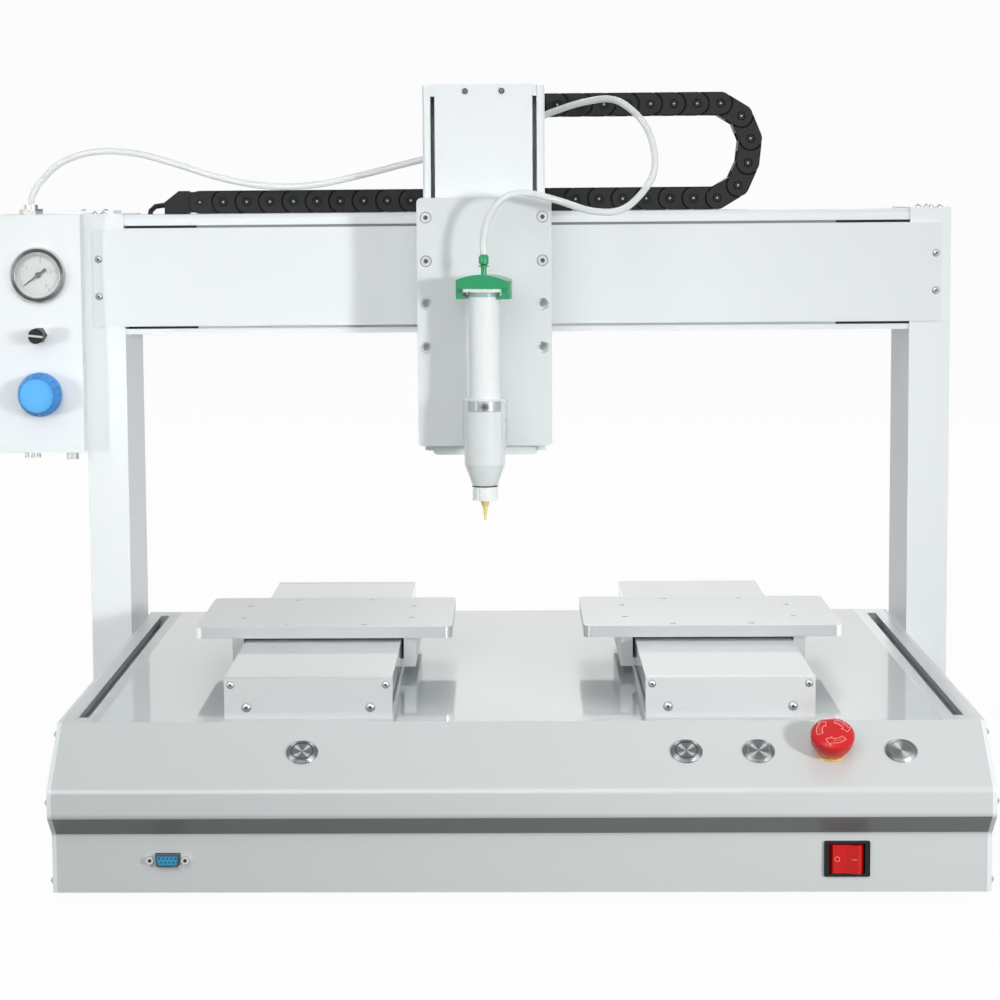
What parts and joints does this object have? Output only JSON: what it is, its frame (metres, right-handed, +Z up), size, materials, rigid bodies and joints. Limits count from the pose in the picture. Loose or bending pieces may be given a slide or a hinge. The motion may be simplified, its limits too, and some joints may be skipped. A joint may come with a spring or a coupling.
{
  "type": "desktop dispensing robot",
  "caption": "Desktop gantry dispensing machine: cabinet with sloped controls, powered Y tables, X beam, Z module with a syringe, air box and energy chain.",
  "frame": {"origin": "middle of the bounding box on the plane the feet stand on", "axes": "+X to the machine's right as seen from the front, +Y to the back, +Z up"},
  "size_m": [0.786, 0.568, 0.5708],
  "materials": {
    "white_paint": "satin, fine powder coat",
    "deck_paint": "glossy, faint mirror image of what stands on it",
    "grey_paint": "satin",
    "alloy": "fine blasted and clear anodised",
    "white_plate": "satin coat",
    "steel": "bright",
    "screw_steel": "bright with dark sockets",
    "motor_black": "satin",
    "rubber": "matte",
    "belt": "matte",
    "chain_black": "semi-matte",
    "gauge_black": "glossy",
    "pointer": "matte",
    "lens": "clear",
    "clear_plastic": "clear, slightly milky",
    "clear_tube": "clear, slightly milky",
    "green_plastic": "glossy",
    "amber_plastic": "slightly clear",
    "nickel": "bright",
    "button_steel": "fine turned face",
    "fitting_nickel": "bright",
    "red_plastic": "glossy",
    "rocker_red": "glossy, lit",
    "knob_blue": "satin",
    "knob_black": "satin",
    "board": "plain"
  },
  "bodies": {
    "cabinet_and_gantry": {"base_frame": "alloy", "base_tray": "grey_paint", "front_panel": "grey_paint", "side_plates": "white_paint", "deck_panel": "deck_paint", "rubber_feet": "rubber", "machine_screws": "screw_steel", "columns": "white_paint", "cross_beam": "white_paint", "beam_cover": "white_paint", "guide_rails": "steel", "drive_belts": "belt", "stepper_motors": "motor_black", "y_bases": "alloy", "y_covers": "white_paint", "y_end_plates": "alloy", "valve_box": "white_paint", "gauge_case": "gauge_black", "gauge_lens": "lens", "air_fittings": "fitting_nickel", "control_bezels": "nickel", "panel_sockets": "nickel", "electronics": "board", "chain_lower": "chain_black", "chain_anchor": "chain_black", "air_tube_rear": "clear_tube"},
    "x_head": {"x_carriage": "white_plate", "z_channel": "white_paint", "z_cover": "white_paint", "z_motor": "motor_black", "chain_upper": "chain_black", "chain_arm": "white_plate", "air_tube_front": "clear_tube"},
    "chain_loop": {"chain_bend": "chain_black"},
    "z_head": {"z_carriage": "white_plate", "tool_plate": "white_plate", "plate_screws": "screw_steel", "holder_bracket": "white_plate", "holder_sleeve": "clear_plastic", "syringe_barrel": "clear_plastic", "adapter_cap": "green_plastic", "needle_tip": "amber_plastic"},
    "z_screw": {"ball_screw": "steel"},
    "table_1": {"y1_table": "white_plate"},
    "table_2": {"y2_table": "white_plate"},
    "x_drive": {"x_drive_pulley": "steel"},
    "x_idler": {"x_idler_pulley": "steel"},
    "y1_drive": {"y1_drive_pulley": "steel"},
    "y1_idler": {"y1_idler_pulley": "steel"},
    "y2_drive": {"y2_drive_pulley": "steel"},
    "y2_idler": {"y2_idler_pulley": "steel"},
    "push_1": {"button_1": "button_steel"},
    "push_2": {"button_2": "button_steel"},
    "push_3": {"button_3": "button_steel"},
    "push_4": {"button_4": "button_steel"},
    "stop": {"stop_head": "red_plastic"},
    "power_rocker": {"rocker": "rocker_red"},
    "regulator": {"regulator_knob": "knob_blue"},
    "suckback": {"valve_knob": "knob_black"},
    "pointer": {"gauge_pointer": "pointer"}
  },
  "joints": [
    {"name": "x_slide", "type": "slide", "parent": "cabinet_and_gantry", "child": "x_head", "axis": [1, 0, 0], "range_m": [-0.225, 0.275], "deforming": ["chain_lower", "chain_upper", "air_tube_rear"]},
    {"name": "chain_roll", "type": "slide", "parent": "cabinet_and_gantry", "child": "chain_loop", "axis": [1, 0, 0], "range_m": [-0.1126, 0.1376], "deforming": ["chain_lower", "chain_upper"]},
    {"name": "z_slide", "type": "slide", "parent": "x_head", "child": "z_head", "axis": [0, 0, 1], "range_m": [-0.06, 0.04], "deforming": ["air_tube_front"]},
    {"name": "screw_spin", "type": "hinge", "parent": "x_head", "child": "z_screw", "pos_m": [0.013, 0.1145, 0.4205], "axis": [0, 0, 1], "range_deg": [-2170, 1450]},
    {"name": "y1_slide", "type": "slide", "parent": "cabinet_and_gantry", "child": "table_1", "axis": [0, 1, 0], "range_m": [-0.155, 0.15]},
    {"name": "y2_slide", "type": "slide", "parent": "cabinet_and_gantry", "child": "table_2", "axis": [0, 1, 0], "range_m": [-0.155, 0.15]},
    {"name": "x_drive_spin", "type": "hinge", "parent": "cabinet_and_gantry", "child": "x_drive", "pos_m": [0.341, 0.2145, 0.42045], "axis": [0, 1, 0], "range_deg": [-1480, 1810]},
    {"name": "x_idler_spin", "type": "hinge", "parent": "cabinet_and_gantry", "child": "x_idler", "pos_m": [-0.265, 0.2145, 0.42045], "axis": [0, 1, 0], "range_deg": [-1480, 1810]},
    {"name": "y1_drive_spin", "type": "hinge", "parent": "cabinet_and_gantry", "child": "y1_drive", "pos_m": [-0.085, 0.244, 0.134], "axis": [0, 0, 1], "range_deg": [-1020, 990]},
    {"name": "y1_idler_spin", "type": "hinge", "parent": "cabinet_and_gantry", "child": "y1_idler", "pos_m": [-0.085, -0.196, 0.134], "axis": [0, 0, 1], "range_deg": [-1020, 990]},
    {"name": "y2_drive_spin", "type": "hinge", "parent": "cabinet_and_gantry", "child": "y2_drive", "pos_m": [0.21, 0.244, 0.134], "axis": [0, 0, 1], "range_deg": [-1020, 990]},
    {"name": "y2_idler_spin", "type": "hinge", "parent": "cabinet_and_gantry", "child": "y2_idler", "pos_m": [0.21, -0.196, 0.134], "axis": [0, 0, 1], "range_deg": [-1020, 990]},
    {"name": "press_1", "type": "slide", "parent": "cabinet_and_gantry", "child": "push_1", "axis": [0, 0.5652, -0.8249], "range_m": [0, 0.002], "stiffness_N_per_m": 500, "springref_m": -0.002},
    {"name": "press_2", "type": "slide", "parent": "cabinet_and_gantry", "child": "push_2", "axis": [0, 0.5652, -0.8249], "range_m": [0, 0.002], "stiffness_N_per_m": 500, "springref_m": -0.002},
    {"name": "press_3", "type": "slide", "parent": "cabinet_and_gantry", "child": "push_3", "axis": [0, 0.5652, -0.8249], "range_m": [0, 0.002], "stiffness_N_per_m": 500, "springref_m": -0.002},
    {"name": "press_4", "type": "slide", "parent": "cabinet_and_gantry", "child": "push_4", "axis": [0, 0.5652, -0.8249], "range_m": [0, 0.002], "stiffness_N_per_m": 500, "springref_m": -0.002},
    {"name": "stop_push", "type": "slide", "parent": "cabinet_and_gantry", "child": "stop", "axis": [0, 0.5652, -0.8249], "range_m": [0, 0.004]},
    {"name": "rocker_tilt", "type": "hinge", "parent": "cabinet_and_gantry", "child": "power_rocker", "pos_m": [0.2614, -0.2623, 0.0314], "axis": [0, 0, 1], "range_deg": [0, 18]},
    {"name": "regulator_turn", "type": "hinge", "parent": "cabinet_and_gantry", "child": "regulator", "pos_m": [-0.352, 0.125, 0.324], "axis": [0, 1, 0], "range_deg": [-360, 360]},
    {"name": "valve_turn", "type": "hinge", "parent": "cabinet_and_gantry", "child": "suckback", "pos_m": [-0.352, 0.125, 0.3725], "axis": [0, 1, 0], "range_deg": [-720, 720]},
    {"name": "gauge_turn", "type": "hinge", "parent": "cabinet_and_gantry", "child": "pointer", "pos_m": [-0.352, 0.135, 0.4215], "axis": [0, 1, 0], "range_deg": [0, 270]}
  ],
  "couplings": [
    {"joint": "chain_roll", "follows": "x_slide", "ratio": 0.5},
    {"joint": "screw_spin", "follows": "z_slide", "rad_per_m": 628.32},
    {"joint": "x_drive_spin", "follows": "x_slide", "rad_per_m": 113.64},
    {"joint": "x_idler_spin", "follows": "x_slide", "rad_per_m": 113.64},
    {"joint": "y1_drive_spin", "follows": "y1_slide", "rad_per_m": 113.64},
    {"joint": "y1_idler_spin", "follows": "y1_slide", "rad_per_m": 113.64},
    {"joint": "y2_drive_spin", "follows": "y2_slide", "rad_per_m": 113.64},
    {"joint": "y2_idler_spin", "follows": "y2_slide", "rad_per_m": 113.64}
  ]
}
